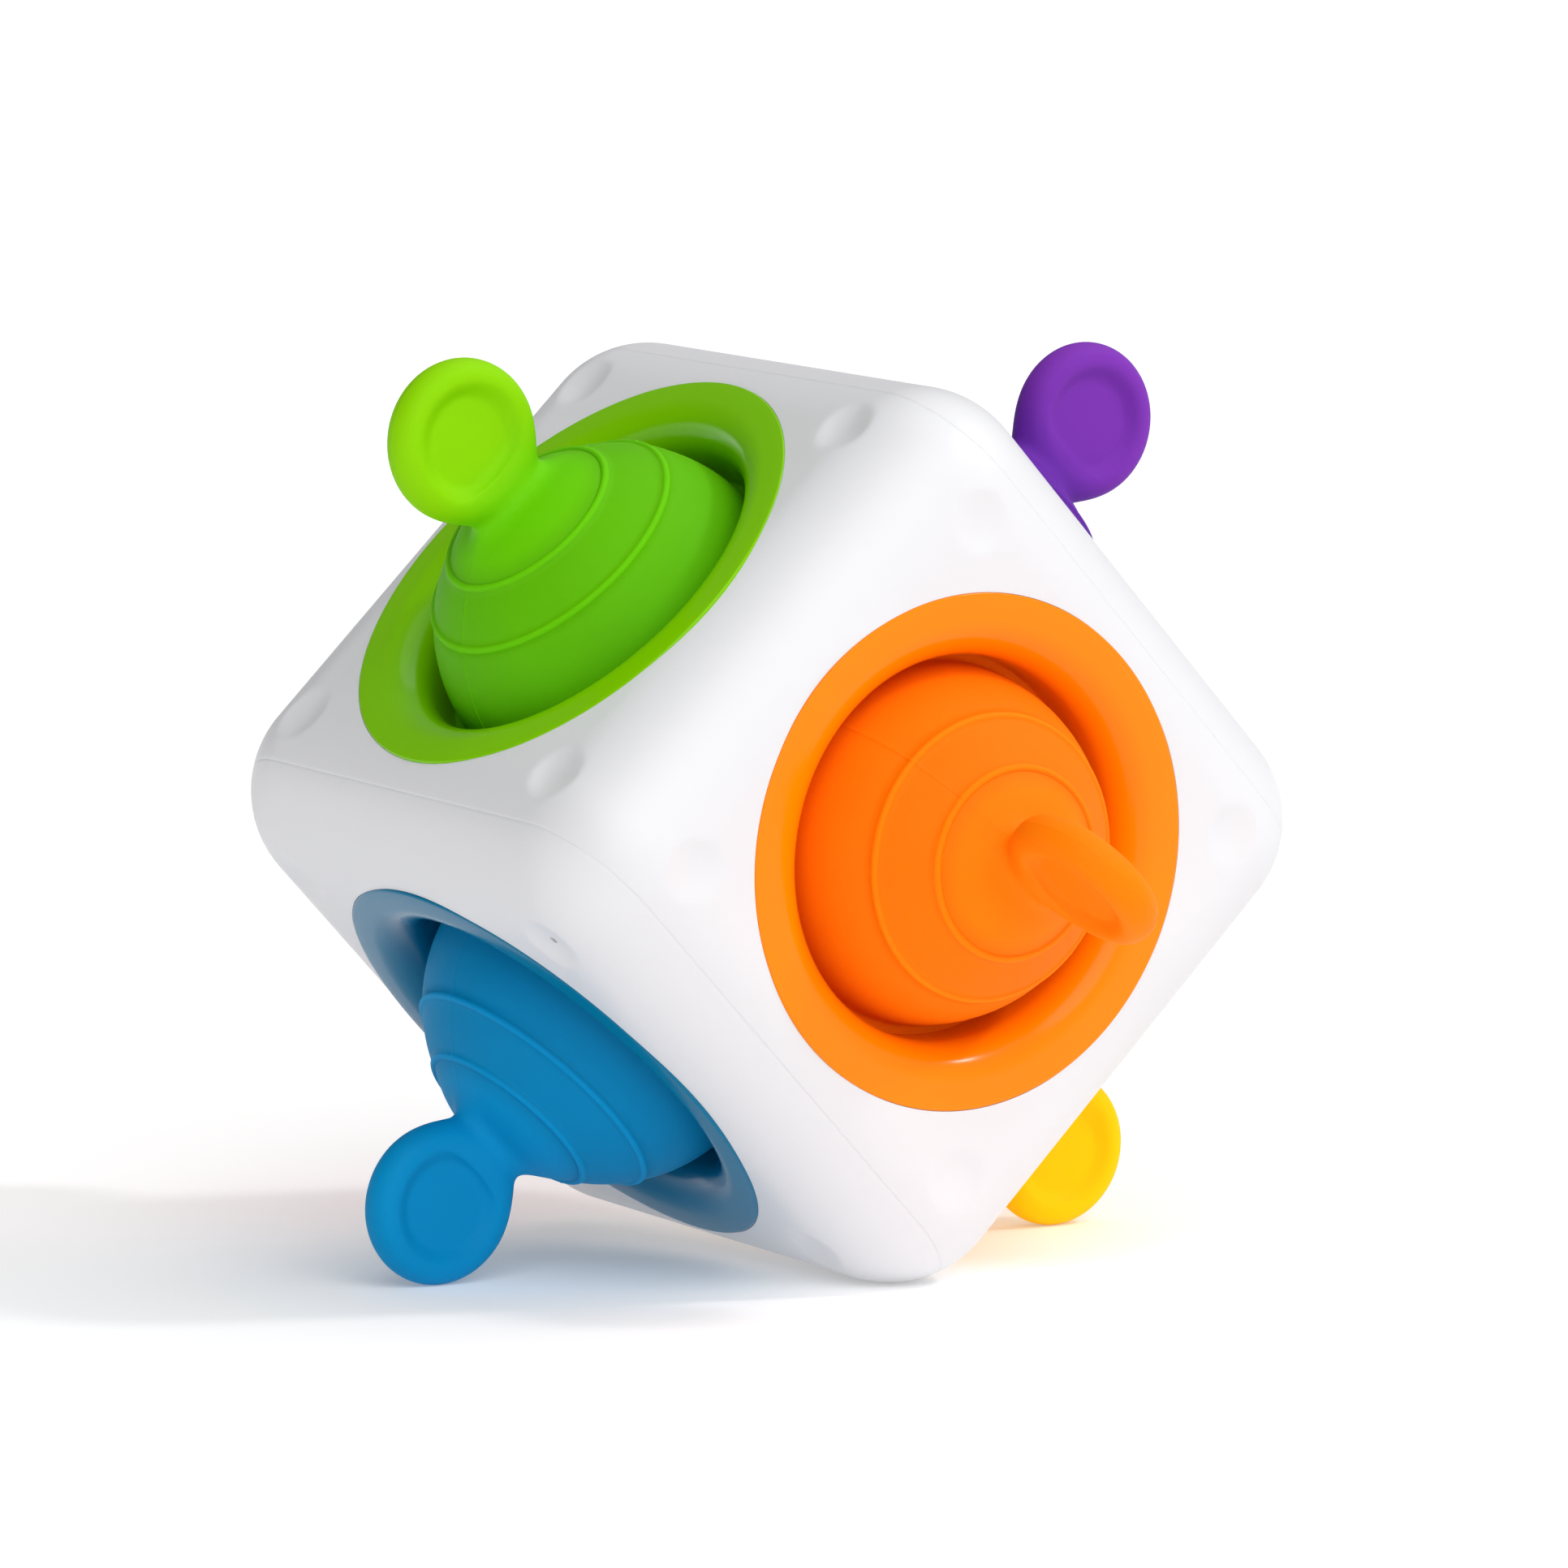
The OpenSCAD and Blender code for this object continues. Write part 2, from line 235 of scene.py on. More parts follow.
studio_sun("front_softbox", turn=-80, rise=34, strength=1.45, spread=55)
studio_sun("top_softbox", turn=22, rise=64, strength=0.7, spread=60)
studio_sun("small_lamp", turn=-4, rise=44, strength=0.6, spread=7)
WALL_GLOW = 0.62
world = bpy.data.worlds.new("studio")
world.use_nodes = True
room = world.node_tree
room.nodes.clear()
compass = put(room, "ShaderNodeTexCoord")
rightness = put(room, "ShaderNodeVectorMath", {
    0: (compass, "Generated"), 1: right}, operation="DOT_PRODUCT")
fill = put(room, "ShaderNodeMapRange", {
    "Value": (rightness, "Value"), "From Min": -1.0, "From Max": 1.0,
    "To Min": 0.0, "To Max": WALL_GLOW})
walls = put(room, "ShaderNodeBackground", {"Color": linear("#ffffff"), "Strength": (fill, "Result")})
put(room, "ShaderNodeOutputWorld", {"Surface": (walls, "Background")})
bpy.context.scene.world = world
bpy.context.scene.view_settings.view_transform = "Standard"
print("lights: two softboxes, a small lamp and walls that glow from 0 to", WALL_GLOW)

# %% [markdown]
# ## ABS, moulded satin: the casing
# The white casing is injection-moulded ABS from a lightly textured tool. The eye sees a broad,
# soft highlight with no sharp reflection, and a very fine grain. ABS has an IOR of about 1.54.
# The texture of such a tool is about 0.2 mm from peak to peak. That is too fine to show here, so
# the grain is drawn at 0.4 mm.

# %% Casing material
ABS_GRAIN_PER_MM = 2.5
ABS_CLOUD_PER_MM = 0.03


def grain(tree, per_mm, strength, height_mm, normal_of=None, face_mm=None):
    """A bump of fine moulded grain. face_mm is a node with places in mm, for rubber that stretches."""
    if face_mm is None:
        place, scale = (put(tree, "ShaderNodeTexCoord"), "Object"), per_mm / MM
    else:
        place, scale = (face_mm, "Vector"), per_mm
    noise = put(tree, "ShaderNodeTexNoise", {
        "Vector": place, "Scale": scale, "Detail": 2.0, "Roughness": 0.6})
    inputs = {"Strength": strength, "Distance": height_mm * MM, "Height": (noise, "Fac")}
    if normal_of is not None:
        inputs["Normal"] = (normal_of, "Normal")
    return put(tree, "ShaderNodeBump", inputs)


def abs_moulded(name, hex_colour, roughness, through, shine=0.5):
    """Moulded ABS. through is the share of light carried in its skin; shine is its specular level."""
    material, tree = new_material(name)
    place = put(tree, "ShaderNodeTexCoord")
    cloud = put(tree, "ShaderNodeTexNoise", {
        "Vector": (place, "Object"), "Scale": ABS_CLOUD_PER_MM / MM, "Detail": 3.0})
    base = linear(hex_colour)
    shade = [0.96 * c for c in base[:3]] + [1]
    colour = put(tree, "ShaderNodeMix", {"Factor": (cloud, "Fac"), 6: base, 7: shade}, data_type="RGBA")
    gloss = put(tree, "ShaderNodeMapRange", {
        "Value": (cloud, "Fac"), "To Min": roughness - 0.03, "To Max": roughness + 0.03})
    bump = grain(tree, ABS_GRAIN_PER_MM, strength=0.25, height_mm=0.02)
    shader = put(tree, "ShaderNodeBsdfPrincipled", {
        "Base Color": (colour, 2), "Roughness": (gloss, "Result"),
        "IOR": 1.54, "Specular IOR Level": shine, "Normal": (bump, "Normal"),
        "Subsurface Weight": through, "Subsurface Radius": (0.8, 0.8, 0.8), "Subsurface Scale": 1.0 * MM})
    put(tree, "ShaderNodeOutputMaterial", {"Surface": (shader, "BSDF")})
    return material


casing_abs = abs_moulded("casing_abs_satin", "#e5e5e8", roughness=0.42, through=0.1)
print("casing material:", casing_abs.name)

# %% [markdown]
# ## The casing's surface
# Each face of a rounded cube can be unrolled to a square: the flat middle keeps its size, and each
# rounded edge adds an eighth of a turn. A grid drawn on that square and rolled back gives an exact
# rounded cube. The grid here runs outwards from the ring's hole to the square's border, so the
# hole is a true circle, and its lines crowd towards the corners, where the dimples are. Subdividing
# a plain cube would be quicker, but it would make neither a true circle nor a true radius.

# %% A face of the rounded cube
HALF = 60.0
EDGE_R = 20.0
FLAT = HALF - EDGE_R
UNROLLED = FLAT + EDGE_R * math.pi / 4
HOLE_R = 43.9
DIMPLE_AT = 39.5
DIMPLE_R = 5.6
DIMPLE_DEPTH = 1.2
BRIM = 0.15
AROUND = 320
CROWD = 0.4
OUTWARDS = 44


def roll_up(s, t):
    """Points of the unrolled square, in mm, as points and outward directions on the rounded cube."""
    turn_s = np.sign(s) * np.maximum(np.abs(s) - FLAT, 0) / EDGE_R
    turn_t = np.sign(t) * np.maximum(np.abs(t) - FLAT, 0) / EDGE_R
    outward = np.stack([np.tan(turn_s), np.tan(turn_t), np.ones_like(s)], -1)
    outward /= np.linalg.norm(outward, axis=-1, keepdims=True)
    base = np.stack([np.clip(s, -FLAT, FLAT), np.clip(t, -FLAT, FLAT), np.full_like(s, FLAT)], -1)
    return base + EDGE_R * outward, outward


def unroll(x):
    """Where the flat distance x lies on the unrolled square."""
    beyond = np.clip((np.abs(x) - FLAT) / EDGE_R, 0, 1)
    return np.sign(x) * np.where(np.abs(x) > FLAT, FLAT + EDGE_R * np.arcsin(beyond), np.abs(x))


def dimple(s, t):
    """Depth of the four shallow bowls, with a softened brim."""
    away = np.hypot(np.abs(s) - DIMPLE_AT, np.abs(t) - DIMPLE_AT) / DIMPLE_R
    bowl = 1 - away ** 2
    brim = np.maximum(bowl, -BRIM)
    return DIMPLE_DEPTH * np.where(bowl < BRIM, (brim + BRIM) ** 2 / (4 * BRIM), bowl)


def casing_face():
    """Rows of points of one face, from the hole outwards, in the face's own millimetres."""
    angle = np.arange(AROUND) * math.tau / AROUND
    angle += CROWD * np.sin(4 * angle) / 4
    circle = np.stack([np.cos(angle), np.sin(angle)], -1)
    inner = unroll(HOLE_R * circle)
    outer = UNROLLED * circle / np.abs(circle).max(-1, keepdims=True)
    rows = []
    for k in range(OUTWARDS + 1):
        share = k / OUTWARDS
        square = inner + (outer - inner) * share
        points, outward = roll_up(square[:, 0], square[:, 1])
        rows.append(points - outward * dimple(square[:, 0], square[:, 1])[:, None])
    return np.array(rows)


face_rows = casing_face()
print("casing face:", face_rows.shape[0], "x", face_rows.shape[1], "points")

# %% [markdown]
# ## Three mouldings and two seams
# The casing is a square sleeve with four faces and two end caps, joined at flat seams. All six
# faces are made as one closed surface first, so that the curves run on across the seams, and the
# surface is then cut by planes. Next to each cut the surface dips a tenth of a millimetre: that
# groove is what the eye reads as a seam. Each part is then given its wall, inwards.

# %% Helpers for meshes
SHARP_TURN = math.radians(40)


def ring_faces(rows, around):
    """Quads between rows of points that each go once round."""
    quads = []
    for k in range(rows - 1):
        for i in range(around):
            j = (i + 1) % around
            a, b = k * around, (k + 1) * around
            quads.append((a + i, b + i, b + j, a + j))
    return quads


def smooth(mesh, sharp):
    """Shades a mesh smooth, except along edges that turn by more than the sharp angle."""
    mesh.polygons.foreach_set("use_smooth", [True] * len(mesh.polygons))
    mesh.set_sharp_from_angle(angle=sharp)


def finish_piece(mesh, name, material, sharp=SHARP_TURN):
    """Puts a mesh in the scene as a piece, shaded smooth except at its corners."""
    mesh.materials.append(material)
    smooth(mesh, sharp)
    piece = bpy.data.objects.new(name, mesh)
    bpy.context.scene.collection.objects.link(piece)
    return piece


def apply_modifiers(piece):
    """Makes the result of the modifiers the piece's own mesh."""
    graph = bpy.context.evaluated_depsgraph_get()
    made = bpy.data.meshes.new_from_object(piece.evaluated_get(graph))
    piece.modifiers.clear()
    piece.data = made
    smooth(made, SHARP_TURN)


print("helpers for meshes: corners over", round(math.degrees(SHARP_TURN)), "degrees stay sharp")

# %% Casing mouldings
SEAM_AT = 0.817 * HALF
SEAM_GAP = 0.003
GROOVE_HALF = 0.3
GROOVE_DEPTH = 0.1
GROOVE_HOLLOW = 1.5
WALL = 2.2
WELD = 0.02
CUT_SNAP = 1e-7


def whole_casing():
    """The six faces, joined along their borders."""
    sheet = bmesh.new()
    for colour in COLOURS:
        turn = FACES[colour]
        points = face_rows.reshape(-1, 3)
        corners = [sheet.verts.new(turn @ Vector(p)) for p in points]
        for quad in ring_faces(len(face_rows), AROUND):
            sheet.faces.new([corners[i] for i in quad])
    bmesh.ops.remove_doubles(sheet, verts=sheet.verts, dist=WELD * MM)
    return sheet


seam_axis = Vector(joints["blue_pull"]["axis"])


def cut_plane(sheet, height, clear_below=False, clear_above=False):
    """Cuts the surface square to the blue tug's axis, that far from the middle of the cube."""
    bmesh.ops.bisect_plane(
        sheet, geom=sheet.verts[:] + sheet.edges[:] + sheet.faces[:], dist=CUT_SNAP,
        plane_co=cube_middle + seam_axis * height * MM, plane_no=seam_axis,
        clear_inner=clear_below, clear_outer=clear_above)


def casing_part(name, low_mm, high_mm):
    """The part of the casing between two heights along the blue tug's axis."""
    sheet = whole_casing()
    for seam in (-SEAM_AT, SEAM_AT):
        for step in (-GROOVE_HALF, -GROOVE_HALF / 3, GROOVE_HALF / 3, GROOVE_HALF):
            cut_plane(sheet, seam + step)
    if low_mm is not None:
        cut_plane(sheet, low_mm, clear_below=True)
    if high_mm is not None:
        cut_plane(sheet, high_mm, clear_above=True)
    sheet.normal_update()
    for corner in sheet.verts:
        height = (corner.co - cube_middle).dot(seam_axis) / MM
        near = abs(abs(height) - SEAM_AT)
        if near < GROOVE_HALF:
            corner.co -= corner.normal * GROOVE_DEPTH * MM * (1 - near / GROOVE_HALF) ** GROOVE_HOLLOW
    mesh = bpy.data.meshes.new(name)
    sheet.to_mesh(mesh)
    sheet.free()
    piece = finish_piece(mesh, name, casing_abs)
    wall = piece.modifiers.new("wall", "SOLIDIFY")
    wall.thickness = WALL * MM
    wall.offset = -1
    return piece


shell_middle = casing_part("shell_middle", -SEAM_AT + SEAM_GAP, SEAM_AT - SEAM_GAP)
shell_blue_end = casing_part("shell_blue_end", SEAM_AT + SEAM_GAP, None)
shell_purple_end = casing_part("shell_purple_end", None, -SEAM_AT - SEAM_GAP)
print("casing: three mouldings, cut", round(SEAM_AT, 1), "mm from the cube's middle")

# %% [markdown]
# A pin-sized vent in one dimple of the blue end lets air in and out as the tugs move. It is
# drilled through the wall with a boolean, after the wall has its thickness.

# %% Air vent
VENT_R = 0.75
DRILL_LONG = 30
DRILL_SIDES = 32
vent_axes = FACES["blue"]
green_side = (vent_axes.inverted().to_3x3() @ Vector(joints["green_pull"]["axis"])).normalized()
orange_side = (vent_axes.inverted().to_3x3() @ Vector(joints["orange_pull"]["axis"])).normalized()
vent_at = (green_side + orange_side) * DIMPLE_AT
drill = bmesh.new()
bmesh.ops.create_cone(
    drill, cap_ends=True, segments=DRILL_SIDES, radius1=VENT_R, radius2=VENT_R, depth=DRILL_LONG,
    matrix=Matrix.Translation(vent_at + Vector((0, 0, HALF))))
drill.transform(vent_axes)
drill_mesh = bpy.data.meshes.new("drill")
drill.to_mesh(drill_mesh)
drill.free()
drill_bit = bpy.data.objects.new("drill", drill_mesh)
bpy.context.scene.collection.objects.link(drill_bit)
vent = shell_blue_end.modifiers.new("vent", "BOOLEAN")
vent.operation = "DIFFERENCE"
vent.object = drill_bit
shells = {
    "middle_shell": shell_middle, "blue_end_cap": shell_blue_end, "purple_end_cap": shell_purple_end}
for node, shell in shells.items():
    apply_modifiers(shell)
    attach(shell, "casing")
    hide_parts(node)
    print(shell.name, len(shell.data.polygons), "faces")
bpy.data.objects.remove(drill_bit)

# %% [markdown]
# ## ABS, moulded and semi-gloss: the rings
# The rings are the same plastic in colour, from a smoother tool, so their highlights are sharper
# than those of the casing and the silicone. Their specular level is low, or the white floor would
# wash their colours out. Each is a true turned shape, so it is made as a lathe makes it: a profile
# spun round the tug's axis. The profile's round lip is an arc of 6.7 mm.

# %% A lathe
TURNED_SIDES = 192
RIDGE_HALF_TURN = 0.5


def keep_place(mesh, points):
    """Stores each point's place in its face's own axes, in mm, for the materials to use."""
    place = mesh.attributes.new("face_mm", "FLOAT_VECTOR", "POINT")
    place.data.foreach_set("vector", points.astype(np.float32).ravel())


def lathe(name, profile, around, material, turn, sharp=SHARP_TURN, ridge=0.0):
    """Turns a closed profile of (radius, height) points, in mm, about a face's axis.

    ridge is the height of a hairline along the two sides where a mould's halves met.
    """
    angle = np.arange(around) * 2 * math.pi / around
    lift = np.zeros(around)
    if ridge:
        beside = np.radians(RIDGE_HALF_TURN * np.array([-1, -0.5, 0.5, 1]))
        angle = np.concatenate([angle, math.pi / 2 + beside, 3 * math.pi / 2 + beside])
        angle.sort()
        around = len(angle)
        off_ridge = np.degrees(np.arccos(np.abs(np.sin(angle))))
        lift = ridge * np.clip(1 - off_ridge / RIDGE_HALF_TURN, 0, 1)
    spin = np.stack([np.cos(angle), np.sin(angle)], -1)
    points = np.concatenate(
        [np.concatenate([spin * (r + lift[:, None]), np.full((around, 1), z)], -1) for r, z in profile])
    last = (len(profile) - 1) * around
    quads = ring_faces(len(profile), around)
    quads += [(last + i, i, (i + 1) % around, last + (i + 1) % around) for i in range(around)]
    mesh = bpy.data.meshes.new(name)
    mesh.from_pydata([turn @ Vector(p) for p in points], [], quads)
    solid = bmesh.new()
    solid.from_mesh(mesh)
    bmesh.ops.recalc_face_normals(solid, faces=solid.faces)
    solid.to_mesh(mesh)
    solid.free()
    keep_place(mesh, points)
    return finish_piece(mesh, name, material, sharp)


print("the lathe turns a profile into", TURNED_SIDES, "sides")

# %% Rings
RING_R = 43.86
THROAT_R = 32.8
LIP_R = 6.7
RING_TOP = 60.2
SEAT = 57.8
TUBE_R = 38.9
TUBE_END = 47.0
RIM_R = 0.4
MID_THROAT = 51.0
ON_FLAT_R = 41.5


def arc(middle, radius, start, stop, steps):
    """Points of an arc, as (radius from the axis, height)."""
    return [
        (middle[0] + radius * math.cos(math.radians(start + (stop - start) * k / steps)),
         middle[1] + radius * math.sin(math.radians(start + (stop - start) * k / steps)))
        for k in range(steps + 1)]


ring_profile = [(THROAT_R, TUBE_END), (THROAT_R, MID_THROAT)]
ring_profile += arc((THROAT_R + LIP_R, RING_TOP - LIP_R), LIP_R, 180, 90, steps=18)
ring_profile += [(ON_FLAT_R, RING_TOP)]
ring_profile += arc((RING_R - RIM_R, RING_TOP - RIM_R), RIM_R, 90, 0, steps=6)
ring_profile += [(RING_R, SEAT), (TUBE_R, SEAT), (TUBE_R, TUBE_END)]

RING_COLOURS = {
    "orange": "#ff8800", "green": "#80c900", "blue": "#007298",
    "red": "#e0201a", "yellow": "#ffc400", "purple": "#6c2fa8"}
for colour in COLOURS:
    plastic = abs_moulded(
        colour + "_abs_semigloss", RING_COLOURS[colour], roughness=0.18, through=0.0, shine=0.16)
    ring = lathe(colour + "_ring", ring_profile, TURNED_SIDES, plastic, FACES[colour])
    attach(ring, "casing")
    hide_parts(colour + "_bezel")
print("ring profile:", len(ring_profile), "points")

# %% [markdown]
# ## Silicone, moulded matt: the tugs
# Silicone rubber from a blasted mould is matt and a little see-through: light that enters a thin
# part, such as a tab, comes out again close by and makes it glow. Its IOR is 1.41, and its specular
# level is low, as the blasted skin scatters its reflections. That texture is about a tenth of a
# millimetre wide, too fine to show here, so it is drawn at a third of a millimetre. Where the two
# halves of the mould met, a hairline ridge runs in the plane of the tab: down both sides of the
# dome and round the tab's edge. The dome has it in its shape too; the crown and the tab have it
# only as a bump. face_mm keeps each point's place in the tug's own axes, so that this line stays on
# the rubber when it stretches.
# The colours also carry painted light and shade. The dome and the tab each get their own colour, set for
# how each part is lit and for the glow of light through the tab.

# %% Silicone material
DOME_R = 31.0
DOME_Z = 46.3
PAINTED_LIGHT_FROM = 77.0
PAINTED_LIGHT_TO = 90.0
BALL_SHADE = 0.94
BEAD_PAINTED_LIGHT = 1.12
LINE_HALF = (0.05, 0.35)
SILICONE_CLOUD_PER_MM = 0.06
SILICONE_GRAIN_PER_MM = 3.0


def silicone_matt(name, dome_painted_light_hex, tab_painted_light_hex):
    """Pigmented silicone rubber: matt and soft, with painted light and shade that differ between the dome
    and the tab.
    """
    material, tree = new_material(name)
    tug = put(tree, "ShaderNodeAttribute", attribute_name="face_mm")
    across = put(tree, "ShaderNodeSeparateXYZ", {0: (tug, "Vector")})
    # Painted light and shade: with height, the colour moves from the dome's colour to the tab's colour,
    # for how each part is lit and for light coming through the tab.
    dome_to_tab_light = put(tree, "ShaderNodeMapRange", {
        "Value": (across, "Z"), "From Min": PAINTED_LIGHT_FROM, "From Max": PAINTED_LIGHT_TO},
        interpolation_type="SMOOTHSTEP")
    body = put(tree, "ShaderNodeMix", {
        "Factor": (dome_to_tab_light, "Result"), 6: linear(dome_painted_light_hex), 7: linear(tab_painted_light_hex)}, data_type="RGBA")
    outwards = put(tree, "ShaderNodeVectorMath", {
        0: (tug, "Vector"), 1: (0, 0, -DOME_Z)}, operation="ADD")
    from_middle = put(tree, "ShaderNodeVectorMath", {0: (outwards, "Vector")}, operation="LENGTH")
    # Painted highlight: the raised beads are painted lighter than the ball, for the light that their
    # crests catch.
    raised = put(tree, "ShaderNodeMapRange", {
        "Value": (from_middle, "Value"), "From Min": DOME_R + 0.1, "From Max": DOME_R + 0.5,
        "To Min": BALL_SHADE, "To Max": BEAD_PAINTED_LIGHT})
    cloud = put(tree, "ShaderNodeTexNoise", {
        "Vector": (tug, "Vector"), "Scale": SILICONE_CLOUD_PER_MM, "Detail": 3.0})
    shade = put(tree, "ShaderNodeMath", {
        0: (cloud, "Fac"), 1: 0.1, 2: (raised, "Result")}, operation="MULTIPLY_ADD")
    colour = put(tree, "ShaderNodeHueSaturation", {"Color": (body, 2), "Value": (shade, 0)})
    off_line = put(tree, "ShaderNodeMath", {0: (across, "X")}, operation="ABSOLUTE")
    ridge = put(tree, "ShaderNodeMapRange", {
        "Value": (off_line, 0), "From Min": LINE_HALF[0], "From Max": LINE_HALF[1],
        "To Min": 1.0, "To Max": 0.0})
    line = put(tree, "ShaderNodeBump", {
        "Strength": 0.5, "Distance": 0.08 * MM, "Height": (ridge, "Result")})
    bump = grain(tree, SILICONE_GRAIN_PER_MM, strength=0.3, height_mm=0.03, normal_of=line, face_mm=tug)
    shader = put(tree, "ShaderNodeBsdfPrincipled", {
        "Base Color": (colour, "Color"), "Roughness": 0.6, "IOR": 1.41, "Specular IOR Level": 0.12,
        "Normal": (bump, "Normal"),
        "Subsurface Weight": 0.25, "Subsurface Radius": (1.0, 1.0, 1.0), "Subsurface Scale": 1.0 * MM})
    put(tree, "ShaderNodeOutputMaterial", {"Surface": (shader, "BSDF")})
    return material


# Each pair is a dome colour and a tab colour, and each colour has painted light and shade in it.
SILICONE_COLOURS_AND_LIGHT = {
    "orange": ("#ff7800", "#ff7a00"), "green": ("#60b800", "#82c400"), "blue": ("#0084ba", "#0080b4"),
    "red": ("#e8241c", "#f03024"), "yellow": ("#ffb800", "#ffbe00"), "purple": ("#602896", "#7430a2")}
silicones = {c: silicone_matt(c + "_silicone_matt", *SILICONE_COLOURS_AND_LIGHT[c]) for c in COLOURS}
print("silicones:", ", ".join(silicones))

# %% [markdown]
# ## The dome
# The dome is a turned shape too: part of a ball of 31 mm radius, with a rim clamped inside the
# casing and two raised beads. Its profile goes up the outside, over both beads, and back down
# the inside, so it is a hollow moulding with a real wall. The mould's hairline is a real ridge on
# it, about an eighth of a millimetre high, so the lathe adds a few narrow slices on those two sides.

# %% Domes
DOME_IN_R = 28.6
BEAD_R = 0.75
BEAD_OUT = 0.05
BEAD_LIFT = 0.5
BEAD_ROUND = 0.8
LOW_BEAD = 50.6
HIGH_BEAD = 31.3
BESIDE_BEAD = 2
TOP_STEP = 2.4
FOOT_FILLET = 1.2
FLANGE_LOW = 45.0
MOULD_RIDGE = 0.12


def ball(radius, angle):
    """A point of the ball, at that angle from its pole."""
    a = math.radians(angle)
    return (radius * math.sin(a), DOME_Z + radius * math.cos(a))


def bead(angle, steps=10):
    """A raised bead across the ball's surface, with a small fillet at each foot."""
    half = math.degrees(BEAD_R / DOME_R)
    points = []
    for k in range(steps + 1):
        across = 1 - 2 * k / steps
        lift = BEAD_OUT + BEAD_LIFT * (1 - across ** 2) ** BEAD_ROUND
        points.append(ball(DOME_R + lift, angle + across * half))
    return points


def dome_stretch(start, stop, steps):
    """Points of the plain ball between two angles, without the ends."""
    return [ball(DOME_R, start + (stop - start) * k / steps) for k in range(1, steps)]


dome_profile = [(TUBE_R, FLANGE_LOW), (TUBE_R, TUBE_END)]
dome_profile += arc((DOME_R + FOOT_FILLET, TUBE_END + FOOT_FILLET), FOOT_FILLET, 270, 180, steps=5)
dome_profile += dome_stretch(86, LOW_BEAD + BESIDE_BEAD, steps=16)
dome_profile += bead(LOW_BEAD)
dome_profile += dome_stretch(LOW_BEAD - BESIDE_BEAD, HIGH_BEAD + BESIDE_BEAD, steps=12)
dome_profile += bead(HIGH_BEAD)
dome_profile += [ball(DOME_R - 1, HIGH_BEAD - TOP_STEP)]
dome_profile += [
    ball(DOME_IN_R, HIGH_BEAD - TOP_STEP + (90 - HIGH_BEAD + TOP_STEP) * k / 24) for k in range(25)]
dome_profile += [(DOME_IN_R, FLANGE_LOW)]


for colour in COLOURS:
    dome = lathe(
        colour + "_tug_dome", dome_profile, TURNED_SIDES, silicones[colour], FACES[colour],
        sharp=math.radians(70), ridge=MOULD_RIDGE)
    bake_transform(dome)
    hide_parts(colour + "_flange", colour + "_skirt", colour + "_dome")
print("dome profile:", len(dome_profile), "points")

# %% [markdown]
# ## The crown, neck and tab
# The tab grows out of the dome with fillets that change all the way round, which neither a
# lathe nor a bevel makes well. Such a soft shape is easy to say as a distance field: how far any
# point is from the ball, the neck and the tab, with a smooth minimum that pours a fillet into
# each joint. The crown above the upper bead is a little fuller than the ball below it. A grid
# finds where the field is zero, one vertex goes in each crossed cell, and a few steps along the
# field's slope then bring each vertex onto the surface.

# %% Distance field of a tab
TAB_R = 13.99
TAB_HALF = 4.0
TAB_Z = 92.0
FINGER_R = 11.0
FINGER_FLOOR_R = 7.2
FINGER_DEPTH = 1.9
FINGER_BRIM = 1.2
CROWN_CUT = 72.6
CROWN_R = 24.9
CROWN_Z = 53.7
NECK_HALF = (3.7, 7.2)
NECK_HIGH = 84.0
NECK_FILLET = 3.0
CROWN_FILLET = 3.2


def pour(a, b, fillet):
    """Smooth minimum of two distances: their union with a fillet in the corner."""
    mix = np.clip(0.5 + 0.5 * (b - a) / fillet, 0, 1)
    return b + (a - b) * mix - fillet * mix * (1 - mix)


def tab_field(p):
    """Signed distance, in mm, to the crown, neck and tab at points p."""
    x, y, z = p[..., 0], p[..., 1], p[..., 2]
    crown = np.sqrt(x ** 2 + y ** 2 + (z - CROWN_Z) ** 2) - CROWN_R
    out = np.maximum(np.hypot(y, z - TAB_Z) - (TAB_R - TAB_HALF), 0)
    disc = np.hypot(out, x) - TAB_HALF
    climb = np.clip((np.hypot(y, z - TAB_Z) - FINGER_FLOOR_R) / (FINGER_R - FINGER_FLOOR_R), 0, 1)
    hollow = TAB_HALF - FINGER_DEPTH * (1 - climb ** 2 * (3 - 2 * climb))
    disc = -pour(-disc, hollow - np.abs(x), FINGER_BRIM)
    oval = np.hypot(x / NECK_HALF[0], y / NECK_HALF[1])
    neck = np.maximum((oval - 1) * NECK_HALF[0], z - NECK_HIGH)
    body = pour(pour(neck, disc, NECK_FILLET), crown, CROWN_FILLET)
    return np.maximum(body, CROWN_CUT - z)


tab_middle = np.array([0.0, 0.0, TAB_Z])
print("field at the tab's middle:", round(float(tab_field(tab_middle)), 2), "mm")

# %% From field to mesh
CELL = 0.45
REACH = 19
FIELD_TOP = 108
LEAST_SLOPE = 0.05


